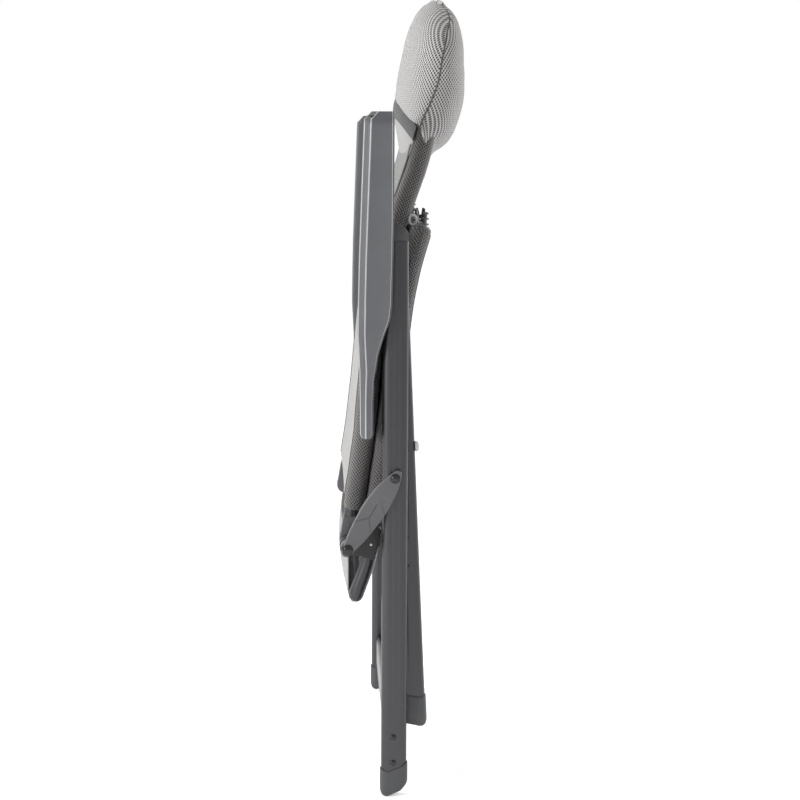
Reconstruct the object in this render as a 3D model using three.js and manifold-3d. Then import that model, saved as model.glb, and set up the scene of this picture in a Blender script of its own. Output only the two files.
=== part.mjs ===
// Folding camp chair, standing folded. Millimetres, +X to the front of the sitter, +Y to the sitter's left, +Z up.
// Side-view coordinates (x, z) start at the foot of the rear leg, on the centreline of its tube.
import * as THREE from 'three';
import { mergeVertices } from 'three/addons/utils/BufferGeometryUtils.js';
import Module from 'manifold-3d';

const wasm = await Module();
wasm.setup();

// Driving dimensions
const FRAME_SHIFT_X = -14.28; // puts the middle of the whole chair's box over the origin
const GAP = 0.3; // between pieces that touch
const LEG = { width: 38, thick: 20, wall: 1.6 };
const REAR_LEG = { inner: 264, outer: 284, foot: 22.5, top: 824 };
const FRONT_LEG = { inner: 240, outer: 260, foot: 112.8, top: 786, lean: 2.55 };
const LEG_PIVOT = { x: 0, z: 770, r: 4 };
const SEAT_PIVOT_DROP = 136; // from the leg pivot down the front leg to the seat's pivot
const LINK_TOP = { x: 0, z: 480 };
const BACK_PIVOT = { x: -69, z: 374.4 };
const ARM_PIVOT = { x: -26.4, z: 828, r: 4 };
const ARM_REAR = { x: -39.6, z: 550.6 };
const TUBE = { r: 11, wall: 1.5, side: 225 };
const BACK_NECK = 187; // the back frame narrows to this above the armrests
const BACK_TOP = 150; // and bends in to this at its top bar
const ARM = { inner: 250, outer: 300, rearOuter: 283.5, wall: 2.5, skirt: -22 };
const LINK = { inner: 285, outer: 293 };
const PIN_PLAY = 0.3;
const CURVE_STEPS = 4;
const TUBE_CURVE = 5; // gives the round tubes ten sides
const SIDES = [['right', -1], ['left', 1]];

// Side-view centrelines, rear end or lower end first
const SEAT_LINE = [
  [-57, 272], [-36, 352], [-24, 440], [-10, 540], [2, 640], [12, 725], [24, 785], [38.5, 834],
];
const BACK_LINE = [
  [-64.5, 402], [-59, 440], [-47, 524], [-36, 640], [-25, 740], [-8, 815], [14, 877], [34, 935],
  [60, 1040], [72, 1087], [80, 1119],
];

const COLOURS = {
  frame: ['#5b5a5d', 0.45, 0.6],
  plastic: ['#4a4a4d', 0.55, 0],
  armrest: ['#5f6064', 0.5, 0],
  black: ['#141415', 0.5, 0],
  rivet: ['#1b1b1d', 0.25, 0.7],
  steel: ['#b4b6b8', 0.35, 0.9],
  mesh: ['#8f8d8b', 0.9, 0],
  webbing: ['#c9c7c5', 0.85, 0],
};

const chair = new THREE.Group();
chair.position.x = FRAME_SHIFT_X;

function add(name, geometry, colour) {
  const [color, roughness, metalness] = COLOURS[colour];
  const mesh = new THREE.Mesh(geometry, new THREE.MeshStandardMaterial({ color, roughness, metalness }));
  mesh.name = name;
  chair.add(mesh);
}

// Solids: cutting and joining
function toSolid(geometry) {
  const loose = geometry.index ? geometry.toNonIndexed() : geometry;
  const bare = new THREE.BufferGeometry().setAttribute('position', loose.getAttribute('position'));
  const merged = mergeVertices(bare, 1e-4);
  const mesh = new wasm.Mesh({
    numProp: 3,
    vertProperties: merged.attributes.position.array,
    triVerts: new Uint32Array(merged.index.array),
  });
  mesh.merge();
  return new wasm.Manifold(mesh);
}

function fromSolid(solid) {
  const mesh = solid.getMesh();
  const geometry = new THREE.BufferGeometry();
  geometry.setAttribute('position', new THREE.BufferAttribute(new Float32Array(mesh.vertProperties), 3));
  geometry.setIndex(new THREE.BufferAttribute(new Uint32Array(mesh.triVerts), 1));
  geometry.computeVertexNormals();
  return geometry;
}

function cut(geometry, ...tools) {
  return fromSolid(tools.reduce((solid, tool) => solid.subtract(toSolid(tool)), toSolid(geometry)));
}

function join(geometry, ...others) {
  return fromSolid(others.reduce((solid, other) => solid.add(toSolid(other)), toSolid(geometry)));
}

function common(geometry, other) {
  return fromSolid(toSolid(geometry).intersect(toSolid(other)));
}

// Outlines: a closed shape through [x, z, cornerRadius] points
function outline(points) {
  const shape = new THREE.Shape();
  points.forEach(([x, z, radius = 0], i) => {
    const corner = new THREE.Vector2(x, z);
    const before = new THREE.Vector2(...points.at(i - 1));
    const after = new THREE.Vector2(...points[(i + 1) % points.length]);
    before.sub(corner);
    after.sub(corner);
    const reach = Math.min(radius, 0.48 * before.length(), 0.48 * after.length());
    const start = corner.clone().add(before.setLength(reach));
    const end = corner.clone().add(after.setLength(reach));
    if (i === 0) shape.moveTo(start.x, start.y);
    else shape.lineTo(start.x, start.y);
    if (radius > 0) shape.quadraticCurveTo(corner.x, corner.y, end.x, end.y);
  });
  shape.closePath();
  return shape;
}

function roundedBox(width, height, radius, x = 0, z = 0) {
  const [w, h] = [width / 2, height / 2];
  return outline([
    [x - w, z - h, radius], [x + w, z - h, radius], [x + w, z + h, radius], [x - w, z + h, radius],
  ]);
}

function hollow(width, height, radius, wall, x = 0, z = 0) {
  const shape = roundedBox(width, height, radius, x, z);
  shape.holes.push(roundedBox(width - 2 * wall, height - 2 * wall, radius - wall, x, z));
  return shape;
}

function ring(outer, inner, x = 0, z = 0) {
  const shape = new THREE.Shape().absarc(x, z, outer, 0, 2 * Math.PI, false);
  shape.holes.push(new THREE.Path().absarc(x, z, inner, 0, 2 * Math.PI, true));
  return shape;
}

// A side-view shape given thickness across the chair, between two distances from its middle plane
function plate(shape, inner, outer, side = 1, steps = CURVE_STEPS) {
  const depth = outer - inner;
  return new THREE.ExtrudeGeometry(shape, { depth, bevelEnabled: false, curveSegments: steps })
    .rotateX(Math.PI / 2)
    .translate(0, side < 0 ? -inner : outer, 0);
}

function block(x0, x1, inner, outer, z0, z1, side) {
  return new THREE.BoxGeometry(x1 - x0, outer - inner, z1 - z0)
    .translate((x0 + x1) / 2, side * (inner + outer) / 2, (z0 + z1) / 2);
}

function pin(at, radius, inner, outer, side) {
  return new THREE.CylinderGeometry(radius, radius, outer - inner, 12)
    .translate(at.x, side * (inner + outer) / 2, at.z);
}

// A turned piece on an axis across the chair; profile points are [radius, distance from the middle plane]
function turned(profile, at, side, segments = 12) {
  const points = profile.map(([r, y]) => new THREE.Vector2(r, y));
  const geometry = new THREE.LatheGeometry(points, segments);
  if (side < 0) geometry.rotateX(Math.PI);
  return geometry.translate(at.x, 0, at.z);
}

// A domed rivet: shank from inner to face, head standing on the face
function rivet(at, shank, head, rise, inner, face, side) {
  const under = face + GAP;
  return turned([
    [0, inner], [shank, inner], [shank, under], [head, under], [head * 0.85, under + rise * 0.6],
    [0, under + rise],
  ], at, side);
}

function legTube(span, side) {
  const middle = side * (span.inner + span.outer) / 2;
  const shape = hollow(LEG.width, LEG.thick, 9.8, LEG.wall);
  const depth = span.top - span.foot;
  return new THREE.ExtrudeGeometry(shape, { depth, bevelEnabled: false, curveSegments: CURVE_STEPS })
    .translate(0, middle, span.foot);
}

function leanFront(geometry) {
  return geometry
    .translate(-LEG_PIVOT.x, 0, -LEG_PIVOT.z)
    .rotateY(-THREE.MathUtils.degToRad(FRONT_LEG.lean))
    .translate(LEG_PIVOT.x, 0, LEG_PIVOT.z);
}

// A hollow cross bar with an end block in each end, bored for its rivets, and a drain hole underneath
function crossBar({ x, z, width, height }, reach, rivets) {
  const tube = plate(hollow(width, height, 7, 1.8, x, z), -reach, reach);
  const ends = SIDES.map(([, side]) => (
    plate(roundedBox(width - 2, height - 2, 6, x, z), reach - 22, reach, side)
  ));
  const bores = SIDES.flatMap(([, side]) => rivets.map((at) => pin(at, 3 + PIN_PLAY, reach - 19, reach + 1, side)));
  return cut(join(tube, ...ends), ...bores, block(x - 3, x + 3, -4, 4, z - height, z, 1));
}

function lineCurve(line, sideAt) {
  return new THREE.CatmullRomCurve3(
    line.map(([x, z]) => new THREE.Vector3(x, sideAt(z), z)), false, 'centripetal',
  );
}

function roundTube(curve, steps) {
  const shape = ring(TUBE.r, TUBE.r - TUBE.wall);
  return new THREE.ExtrudeGeometry(shape, { steps, extrudePath: curve, curveSegments: TUBE_CURVE });
}

// A slab that follows a side-view centreline, between two offsets to its right-hand side
function slab(line, from, to, low, high, halfWidth) {
  const curve = lineCurve(line, () => 0);
  const steps = 16;
  const face = (offset) => Array.from({ length: steps + 1 }, (_, i) => {
    const t = low + (high - low) * i / steps;
    const at = curve.getPointAt(t);
    const along = curve.getTangentAt(t);
    return new THREE.Vector2(at.x + along.z * offset, at.z - along.x * offset);
  });
  const shape = new THREE.Shape([...face(to), ...face(from).reverse()]);
  return plate(shape, -halfWidth, halfWidth);
}

const SEAT_PIVOT = {
  x: LEG_PIVOT.x + SEAT_PIVOT_DROP * Math.sin(THREE.MathUtils.degToRad(FRONT_LEG.lean)),
  z: LEG_PIVOT.z - SEAT_PIVOT_DROP * Math.cos(THREE.MathUtils.degToRad(FRONT_LEG.lean)),
};

// Rear legs: tubes, feet, ground bar and hinge heads
const REAR_RIVETS = [{ x: -1, z: 90.5 }, { x: -1, z: 51.7 }];
const REAR_BAR = { x: -2, z: 71, width: 18, height: 54 };

function rearLegs() {
  for (const [word, side] of SIDES) {
    const { inner, outer } = REAR_LEG;
    const drill = (at, r, from = inner - 1) => pin(at, r + PIN_PLAY, from, outer + 1, side);
    add(`rear_leg_${word}`, cut(
      legTube(REAR_LEG, side),
      ...REAR_RIVETS.map((at) => drill(at, 3)),
      drill(LINK_TOP, 4),
      pin(LEG_PIVOT, LEG_PIVOT.r + PIN_PLAY, inner - 1, inner + 5, side),
    ), 'frame');

    const cup = plate(outline([
      [-20.5, 0, 5], [-3, 0, 2], [20.5, 17, 4], [21, 52, 2], [-20.5, 41, 2],
    ]), inner - 1.8, outer + 1.8, side);
    add(`rear_foot_${word}`, cut(
      cup,
      block(-LEG.width / 2 - GAP, LEG.width / 2 + GAP, inner - GAP, outer + GAP, 22, 60, side),
      block(-30, 30, inner - 5, inner, 38, 60, side),
      block(-30, 30, inner - GAP, inner + 1, 37.7, 60, side),
    ), 'plastic');

    const headOutline = outline([
      [18.2, 824.4], [18.2, 836, 3], [14, 842, 3], [-4, 853, 6], [-28, 846, 9], [-40.5, 832, 9],
      [-37, 816, 9], [-19, 806, 4], [-19.4, 824.4],
    ]);
    const plugShape = roundedBox(LEG.width - 2 * LEG.wall - 1, LEG.thick - 2 * LEG.wall - 1, 7.7);
    const plug = new THREE.ExtrudeGeometry(plugShape, { depth: 31, bevelEnabled: false, curveSegments: 4 })
      .translate(0, side * (inner + outer) / 2, 795);
    add(`arm_hinge_head_${word}`, cut(
      join(
        cut(plate(headOutline, inner, outer, side), block(-19.4, 19.4, inner - 1, outer + 1, 780, 824.3, side)),
        plug,
      ),
      pin(ARM_PIVOT, ARM_PIVOT.r + PIN_PLAY, inner - 1, outer + 1, side),
    ), 'plastic');
    add(`arm_hinge_pin_${word}`, pin(ARM_PIVOT, ARM_PIVOT.r, inner - 3, ARM.outer - ARM.wall - 1, side), 'steel');

    ['upper', 'lower'].forEach((level, i) => add(
      `rear_bar_rivet_${level}_${word}`,
      rivet(REAR_RIVETS[i], 3, 4.8, 2.8, inner - 18, outer, side), 'rivet',
    ));
  }
  add('rear_bar', crossBar(REAR_BAR, REAR_LEG.inner - GAP, REAR_RIVETS), 'frame');
}

// Front legs: leaning tubes, feet, cross bar and the pivots on the rear legs
const FRONT_RIVETS = [{ x: 0, z: 385.5 }, { x: 0, z: 341.5 }];
const FRONT_BAR = { x: 0, z: 363.5, width: 18, height: 54 };

function frontLegs() {
  for (const [word, side] of SIDES) {
    const { inner, outer } = FRONT_LEG;
    const through = (at, r) => pin(at, r + PIN_PLAY, inner - 1, outer + 1, side);
    const seatHole = { x: LEG_PIVOT.x, z: LEG_PIVOT.z - SEAT_PIVOT_DROP };
    add(`front_leg_${word}`, leanFront(cut(
      legTube(FRONT_LEG, side),
      ...FRONT_RIVETS.map((at) => through(at, 3)),
      through(LEG_PIVOT, LEG_PIVOT.r),
      through(seatHole, 4),
    )), 'frame');

    const cup = plate(outline([
      [-20.5, 109, 3], [11, 97, 6], [20.5, 103, 5], [20.8, 145, 2], [6, 148], [-20.5, 152, 2],
    ]), inner - 1.8, outer + 1.8, side);
    add(`front_foot_${word}`, leanFront(cut(
      cup,
      block(-LEG.width / 2 - GAP, LEG.width / 2 + GAP, inner - GAP, outer + GAP, 112.5, 170, side),
      block(-LEG.width / 2 - GAP, LEG.width / 2 + GAP, inner - GAP, outer + GAP, 112.5, 170, side),
    )), 'plastic');

    add(`leg_pivot_bolt_${word}`, turned([
      [0, inner - 3.2], [6, inner - 3], [7.5, inner - 1.4], [7.5, inner - GAP],
      [LEG_PIVOT.r, inner - GAP], [LEG_PIVOT.r, outer + GAP], [12, outer + GAP],
      [12, REAR_LEG.inner - GAP], [LEG_PIVOT.r, REAR_LEG.inner - GAP],
      [LEG_PIVOT.r, REAR_LEG.inner + 4], [0, REAR_LEG.inner + 4],
    ], LEG_PIVOT, side), 'steel');

    ['upper', 'lower'].forEach((level, i) => add(
      `front_bar_rivet_${level}_${word}`,
      leanFront(rivet(FRONT_RIVETS[i], 3, 4.8, 1.8, inner - 18, outer, side)), 'rivet',
    ));
    const stop = { x: 19.3, z: 519 };
    add(`seat_stop_${word}`, leanFront(
      plate(roundedBox(6, 14, 2.5, stop.x + 3, stop.z), inner + 4, outer - 4, side),
    ), 'webbing');
  }
  add('front_bar', leanFront(crossBar(FRONT_BAR, FRONT_LEG.inner - GAP, FRONT_RIVETS)), 'frame');
}

// Seat: a frame of two side tubes and two bars, brackets, pivots, pad and closing strap
const SEAT_REAR_BAR = { x: -54.2, z: 283 };
const SEAT_FRONT_BAR = { x: 35.4, z: 823.5 };

function seat() {
  for (const [word, side] of SIDES) {
    const curve = lineCurve(SEAT_LINE, () => side * TUBE.side);
    add(`seat_side_tube_${word}`, cut(
      roundTube(curve, 18),
      pin(SEAT_PIVOT, 4 + PIN_PLAY, TUBE.side, TUBE.side + 20, side),
    ), 'frame');
    const [tubeFace, legFace] = [TUBE.side + TUBE.r + GAP, FRONT_LEG.inner - GAP];
    add(`seat_pivot_bolt_${word}`, turned([
      [0, TUBE.side + 6], [4, TUBE.side + 6], [4, tubeFace], [9, tubeFace], [9, legFace], [4, legFace],
      [4, FRONT_LEG.outer + GAP], [7, FRONT_LEG.outer + GAP], [6, FRONT_LEG.outer + 2.2],
      [0, FRONT_LEG.outer + 2.4],
    ], SEAT_PIVOT, side), 'steel');
    const { x, z } = BACK_PIVOT;
    add(`seat_bracket_${word}`, cut(
      plate(outline([
        [x - 14, z + 6, 9], [x - 10, z - 13, 10], [x + 12, z - 16, 4], [-28, 350, 4], [-18.5, 398, 4],
        [-27, 402, 4], [x + 8, z + 16, 9],
      ]), TUBE.side + TUBE.r + 0.4, FRONT_LEG.outer - 2, side),
      pin(BACK_PIVOT, 5 + PIN_PLAY, 230, 262, side),
    ), 'black');
  }
  const barSpan = TUBE.side - TUBE.r - GAP;
  for (const [name, at] of [['seat_rear_bar', SEAT_REAR_BAR], ['seat_front_bar', SEAT_FRONT_BAR]]) {
    add(name, plate(ring(TUBE.r, TUBE.r - TUBE.wall, at.x, at.z), -barSpan, barSpan), 'frame');
  }
  add('seat_pad', slab(SEAT_LINE, -6, 6, 0.055, 0.945, 211), 'mesh');
  add('fold_strap', plate(
    ring(TUBE.r + 2.6, TUBE.r + 0.6, SEAT_FRONT_BAR.x, SEAT_FRONT_BAR.z), 4, 29, 1,
  ), 'webbing');
  add('fold_buckle', plate(outline([
    [44, 838, 1], [50, 834, 1], [58, 842, 2], [57, 860, 1], [53.5, 861, 1], [52, 850, 2],
    [48.5, 850, 2], [46, 861, 1], [43, 860, 1],
  ]), 5, 28, 1), 'black');
}

// Links from the rear legs to the back pivot
function links() {
  const [dx, dz] = [BACK_PIVOT.x - LINK_TOP.x, BACK_PIVOT.z - LINK_TOP.z];
  const length = Math.hypot(dx, dz);
  const at = (along, across) => [
    LINK_TOP.x + (dx * along + dz * across) / length,
    LINK_TOP.z + (dz * along - dx * across) / length,
  ];
  const half = 20;
  const leaf = outline([
    [...at(-12.5, -4), 6], [...at(-12.5, 4), 6], [...at(20, 15), 10], [...at(58, half), 14],
    [...at(104, 13), 12], [...at(length + 11.5, 5), 7], [...at(length + 11.5, -6), 7],
    [...at(100, -15), 12], [...at(52, -half), 14], [...at(14, -14), 10],
  ]);
  for (const [word, side] of SIDES) {
    add(`link_${word}`, cut(
      join(plate(leaf, LINK.inner, LINK.outer, side), pin(BACK_PIVOT, 10, 262, LINK.inner + 1, side)),
      pin(LINK_TOP, 4 + PIN_PLAY, 260, 300, side),
      pin(BACK_PIVOT, 4 + PIN_PLAY, 260, 300, side),
    ), 'plastic');
    add(`link_top_rivet_${word}`, rivet(LINK_TOP, 4, 6, 3.4, REAR_LEG.inner + 4, LINK.outer, side), 'rivet');
    add(`link_low_rivet_${word}`, rivet(BACK_PIVOT, 4, 6, 3.4, 264, LINK.outer, side), 'rivet');
    add(`back_pivot_pin_${word}`, pin(BACK_PIVOT, 5, 216, 257.5, side), 'steel');
  }
}

// Backrest: two bent side tubes on lugs, two bars, pad and headrest strap
function backSide(z) {
  const neck = TUBE.side + (BACK_NECK - TUBE.side) * THREE.MathUtils.smoothstep(z, 740, 935);
  return neck + (BACK_TOP - BACK_NECK) * Math.max(0, (z - 1040) / 79) ** 2;
}

function backrest() {
  for (const [word, side] of SIDES) {
    const curve = lineCurve(BACK_LINE, (z) => side * backSide(z));
    add(`back_side_tube_${word}`, roundTube(curve, 22), 'frame');
    const { x, z } = BACK_PIVOT;
    add(`back_lug_${word}`, cut(
      plate(outline([
        [x - 13, z - 2, 9], [x - 2, z - 13, 9], [x + 12, z - 4, 9], [x + 12, z + 22, 3],
        [-54.5, 400.2], [-74.5, 402.8], [x - 9, z + 18, 3],
      ]), TUBE.side - TUBE.r + 0.5, TUBE.side + TUBE.r - 0.5, side),
      pin(BACK_PIVOT, 5 + PIN_PLAY, 200, 250, side),
    ), 'plastic');
  }
  const low = { x: -57, z: 452 };
  const lowSpan = TUBE.side - TUBE.r - GAP;
  add('back_lower_bar', plate(ring(8, 6.5, low.x, low.z), -lowSpan, lowSpan), 'frame');
  const top = { x: 77, z: 1107 };
  const topSpan = BACK_TOP - TUBE.r - 3;
  add('back_top_bar', plate(ring(TUBE.r, TUBE.r - TUBE.wall, top.x, top.z), -topSpan, topSpan), 'frame');
  add('back_pad', slab(BACK_LINE, -5, 5, 0.09, 0.86, 173), 'mesh');
  add('headrest_strap', slab(BACK_LINE, -8.5, -5.5, 0.66, 0.83, 60), 'webbing');
}

// Headrest: a padded hood over the top of the back frame
const HOOD = [
  [4.6, 1029, 3], [31, 984, 3], [47, 936, 8], [60, 944, 14], [98, 982, 40], [110, 1045, 50],
  [110, 1130, 50], [80, 1182, 40], [38, 1182, 30], [22, 1135, 40],
];
const HOOD_HALF_WIDTH = 214;

function headrest() {
  const [w, low, high] = [HOOD_HALF_WIDTH, 900, 1182];
  const frontView = outline([[-w, low], [w, low], [w, high, 90], [-w, high, 90]]);
  const front = new THREE.ExtrudeGeometry(frontView, { depth: 160, bevelEnabled: false, curveSegments: 5 })
    .applyMatrix4(new THREE.Matrix4().set(0, 0, 1, -20, 1, 0, 0, 0, 0, 1, 0, 0, 0, 0, 0, 1));
  const slotLine = [[20, 875], [34, 931], [82.8, 1126]];
  const slot = slab(slotLine, -13.5, 13.5, 0, 1, BACK_NECK + TUBE.r + 3);
  add('headrest_cushion', cut(common(plate(outline(HOOD), -w, w, 1, 4), front), slot), 'mesh');
}

// Armrests: hollow covers that slide on the rear legs' hinge heads by a rack
function armrests() {
  const { inner, outer, rearOuter, wall, skirt } = ARM;
  const sideView = outline([
    [-50.7, 536, 4], [-31.3, 536, 4], [-31.3, 600], [-27, 650, 8], [-16, 692, 8], [-6, 722, 10],
    [-4, 800], [-3, 1009, 2], [-36.4, 1009, 1], [-46.1, 998, 2], [-53, 799, 20], [-55, 689, 20],
    [-51.5, 634, 10],
  ]);
  const insideView = outline([
    [-47.7, 539.5, 2], [30, 539.5], [30, 1005.5], [-35.5, 1005.5, 1], [-42.8, 996, 2],
    [-49.8, 799, 20], [-51.8, 689, 20], [-48.3, 634, 10],
  ]);
  const planView = (from, to, tail, z0, z1) => new THREE.Shape(
    [[from, z0], [tail, z0], [tail, 620], [to, 700], [to, z1], [from, z1]]
      .map(([y, z]) => new THREE.Vector2(y, z)),
  );
  const planPrism = (shape, side) => {
    const prism = new THREE.ExtrudeGeometry(shape, { depth: 120, bevelEnabled: false })
      .applyMatrix4(new THREE.Matrix4().set(0, 0, 1, -80, 1, 0, 0, 0, 0, 1, 0, 0, 0, 0, 0, 1));
    if (side > 0) return prism;
    return prism.rotateZ(Math.PI).translate(-40, 0, 0);
  };
  for (const [word, side] of SIDES) {
    const solidArm = common(
      plate(sideView, inner - 5, outer + 5, side),
      planPrism(planView(inner, outer, rearOuter, 500, 1100), side),
    );
    const inside = common(
      plate(insideView, inner - 5, outer + 5, side),
      planPrism(planView(inner + wall, outer - wall, rearOuter - wall, 500, 1100), side),
    );
    const teeth = [];
    const [tip, root, pitch, count] = [-37.6, -41.2, 15, 9];
    for (let i = 0; i < count; i += 1) {
      const z = 846 + i * pitch;
      teeth.push([tip, z], [root, z + 3], [root, z + 8], [tip, z + 11]);
    }
    const rack = new THREE.Shape([
      [-51, 838], [tip, 838], ...teeth, [tip, 985], [-45, 985],
    ].map(([x, z]) => new THREE.Vector2(x, z)));
    add(`armrest_${word}`, cut(
      join(
        cut(solidArm, inside, block(skirt, 20, inner - 1, inner + wall + 0.5, 500, 1004, side)),
        plate(rack, 285, outer - wall + 0.5, side),
      ),
      pin(ARM_REAR, 4 + PIN_PLAY, inner - 1, inner + wall + 1, side),
    ), 'armrest');

    const { x, z } = ARM_PIVOT;
    add(`arm_slider_${word}`, cut(
      plate(roundedBox(23, 40, 3, x + 2.2, z), REAR_LEG.outer + 0.6, outer - wall - 1.4, side),
      pin(ARM_PIVOT, ARM_PIVOT.r + PIN_PLAY, 280, 300, side),
    ), 'black');
    add(`arm_rear_stud_${word}`, turned([
      [0, 236.6], [7, 236.6], [7, inner - GAP], [4, inner - GAP], [4, inner + 22], [0, inner + 22],
    ], ARM_REAR, side), 'steel');
  }
}

rearLegs();
frontLegs();
seat();
links();
backrest();
headrest();
armrests();

export default chair;
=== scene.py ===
"""Looks of the folding camp chair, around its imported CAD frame.

Sizes are in millimetres: x from the rear leg's centreline to the sitter's front, y from the chair's middle to
its left, z up from the floor. at() turns them into the frame's metres. Sizes in materials, the radii of cords
and the flat sizes of cloth are in metres.
"""

import math

import bmesh
import bpy
import numpy as np
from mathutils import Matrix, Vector, noise


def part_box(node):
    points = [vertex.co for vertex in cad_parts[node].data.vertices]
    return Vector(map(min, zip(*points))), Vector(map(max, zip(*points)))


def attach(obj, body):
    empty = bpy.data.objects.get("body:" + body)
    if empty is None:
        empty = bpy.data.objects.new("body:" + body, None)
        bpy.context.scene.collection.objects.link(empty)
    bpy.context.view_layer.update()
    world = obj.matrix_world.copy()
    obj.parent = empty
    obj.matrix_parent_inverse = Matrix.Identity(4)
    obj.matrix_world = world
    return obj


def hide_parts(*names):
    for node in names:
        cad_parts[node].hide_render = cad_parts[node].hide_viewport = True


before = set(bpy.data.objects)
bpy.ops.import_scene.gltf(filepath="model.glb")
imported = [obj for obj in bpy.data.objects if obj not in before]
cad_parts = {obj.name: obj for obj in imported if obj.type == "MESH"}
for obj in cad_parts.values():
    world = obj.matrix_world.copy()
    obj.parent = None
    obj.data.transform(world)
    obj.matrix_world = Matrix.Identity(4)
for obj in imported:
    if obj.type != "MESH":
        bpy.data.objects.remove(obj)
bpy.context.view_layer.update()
SIDES = (("right", -1), ("left", 1))
SMOOTH_ANGLE = math.radians(38)

# What x = 0, the rear leg's centreline, is in the frame's metres
LEG_X = sum(c.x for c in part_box("rear_leg_right")) / 2

LEG_PIVOT = (0.0, 770.0)
FRONT_LEAN = math.radians(2.55)
LEG_WIDTH = 38
REAR_LEG = (264, 284)
FRONT_LEG = (240, 260)
BAR_THICK, BAR_HIGH = 18, 54
LINK_TOP = (0.0, 480.0)
BACK_PIVOT = (-69.0, 374.4)
SEAT_LINE = [(-57, 272), (-36, 352), (-24, 440), (-10, 540), (2, 640), (12, 725), (24, 785), (38.5, 834)]
BACK_LINE = [(-64.5, 402), (-59, 440), (-47, 524), (-36, 640), (-25, 740), (-8, 815), (14, 877), (34, 935),
             (60, 1040), (72, 1087), (80, 1119)]


def at(x, y, z):
    """A point in the frame's metres."""
    return Vector((LEG_X + x / 1000, y / 1000, z / 1000))


def leaned(x, z):
    """Where a point of the upright front leg is when the leg leans."""
    dx, dz = x - LEG_PIVOT[0], z - LEG_PIVOT[1]
    c, s = math.cos(FRONT_LEAN), math.sin(FRONT_LEAN)
    return LEG_PIVOT[0] + dx * c - dz * s, LEG_PIVOT[1] + dx * s + dz * c


# ---------------------------------------------------------------- materials
def material(name, colour, roughness, metallic=0.0, specular=0.5, sheen=0.0):
    made = bpy.data.materials.new(name)
    made.use_nodes = True
    shader = made.node_tree.nodes["Principled BSDF"]
    shader.inputs["Base Color"].default_value = (*colour, 1)
    shader.inputs["Roughness"].default_value = roughness
    shader.inputs["Metallic"].default_value = metallic
    shader.inputs["Specular IOR Level"].default_value = specular
    shader.inputs["Sheen Weight"].default_value = sheen
    return made, made.node_tree, shader


def node(tree, kind, inputs=None, **settings):
    made = tree.nodes.new(kind)
    for key, value in settings.items():
        setattr(made, key, value)
    for key, value in (inputs or {}).items():
        if isinstance(value, bpy.types.NodeSocket):
            tree.links.new(value, made.inputs[key])
        else:
            made.inputs[key].default_value = value
    return made


def mapped(tree, vector, **change):
    return node(tree, "ShaderNodeMapping", {"Vector": vector, **change}).outputs["Vector"]


def noise_on(tree, spot, scale, detail):
    return node(tree, "ShaderNodeTexNoise", {"Vector": spot, "Scale": scale, "Detail": detail}).outputs["Fac"]


def vector_math(tree, operation, *values):
    made = node(tree, "ShaderNodeVectorMath", dict(enumerate(values)), operation=operation)
    return made.outputs["Value" if operation == "LENGTH" else "Vector"]


def bumped(tree, height, strength, distance, **more):
    """The normal of a bump from a height."""
    inputs = {"Height": height, "Strength": strength, "Distance": distance, **more}
    return node(tree, "ShaderNodeBump", inputs).outputs["Normal"]


def between(tree, share, first, second):
    """The colour a share of the way from the first to the second."""
    colour_a, colour_b, colour_out = 6, 7, 2
    inputs = {"Factor": share, colour_a: first, colour_b: second}
    return node(tree, "ShaderNodeMix", inputs, data_type="RGBA").outputs[colour_out]


def shade(colour, share):
    return (*[c * share for c in colour], 1)


def grain(tree, shader, scale, low, high, colour, spread, height, stretch=(1, 1, 1)):
    """Fine surface grain: bump, a little colour change and a change in roughness, from object-space noise."""
    spot = mapped(tree, node(tree, "ShaderNodeTexCoord").outputs["Object"], Scale=stretch)
    fine = noise_on(tree, spot, scale, 3.0)
    broad = noise_on(tree, spot, scale * 0.02, 2.0)
    ramp = node(tree, "ShaderNodeValToRGB", {"Fac": broad})
    dark, light = ramp.color_ramp.elements
    dark.position, light.position = 0.3, 0.7
    dark.color, light.color = shade(colour, 1 - spread), shade(colour, 1 + spread)
    tree.links.new(ramp.outputs["Color"], shader.inputs["Base Color"])
    rough = node(tree, "ShaderNodeMapRange", {"Value": fine, "To Min": low, "To Max": high})
    tree.links.new(rough.outputs["Result"], shader.inputs["Roughness"])
    tree.links.new(bumped(tree, fine, 0.5, height), shader.inputs["Normal"])


def tube_finish(name, colour):
    """Satin anodised tube with drawn lines along its length."""
    made, tree, shader = material(name, colour, 0.4, 0.85)
    grain(tree, shader, 900, 0.26, 0.42, colour, 0.10, 0.00008, (1, 1, 0.02))
    return made


def plastic(name, colour, low=0.42, high=0.6, scale=1400, height=0.0002, spread=0.06):
    """Moulded plastic with a fine spark-eroded texture."""
    made, tree, shader = material(name, colour, low, 0, 0.45)
    grain(tree, shader, scale, low, high, colour, spread, height)
    return made


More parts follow.
